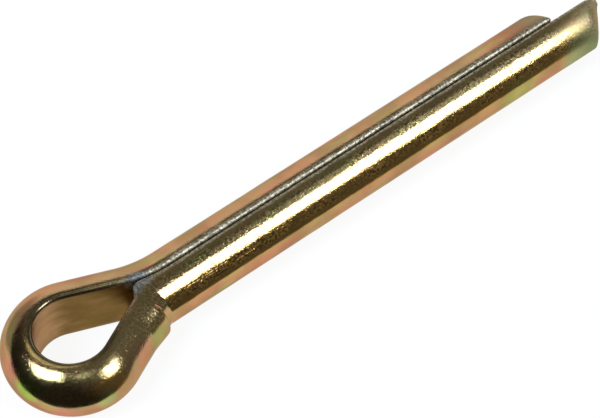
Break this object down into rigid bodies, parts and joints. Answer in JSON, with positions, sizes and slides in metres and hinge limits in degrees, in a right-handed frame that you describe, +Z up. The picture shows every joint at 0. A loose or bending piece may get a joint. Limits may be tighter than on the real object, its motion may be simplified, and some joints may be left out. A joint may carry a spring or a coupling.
{
  "type": "cotter pin",
  "caption": "Split cotter pin of half-round wire with a teardrop eye and closed legs of unequal length; spreads open to lock a clevis pin or castle nut.",
  "frame": {"origin": "on the shank's axis where both legs have come straight, just past the eye's neck", "axes": "+X along the shank from the eye to the tips; the eye and legs lie in the XY plane, with the long leg on the -Y side; +Z up, square to the eye, as the pin lies on its side"},
  "size_m": [0.0628, 0.0119, 0.0058],
  "materials": {
    "yellow_zinc": "yellow passivated zinc plate over drawn steel wire, lightly pitted"
  },
  "bodies": {
    "root": {"cotter_pin": "yellow_zinc"}
  },
  "joints": []
}
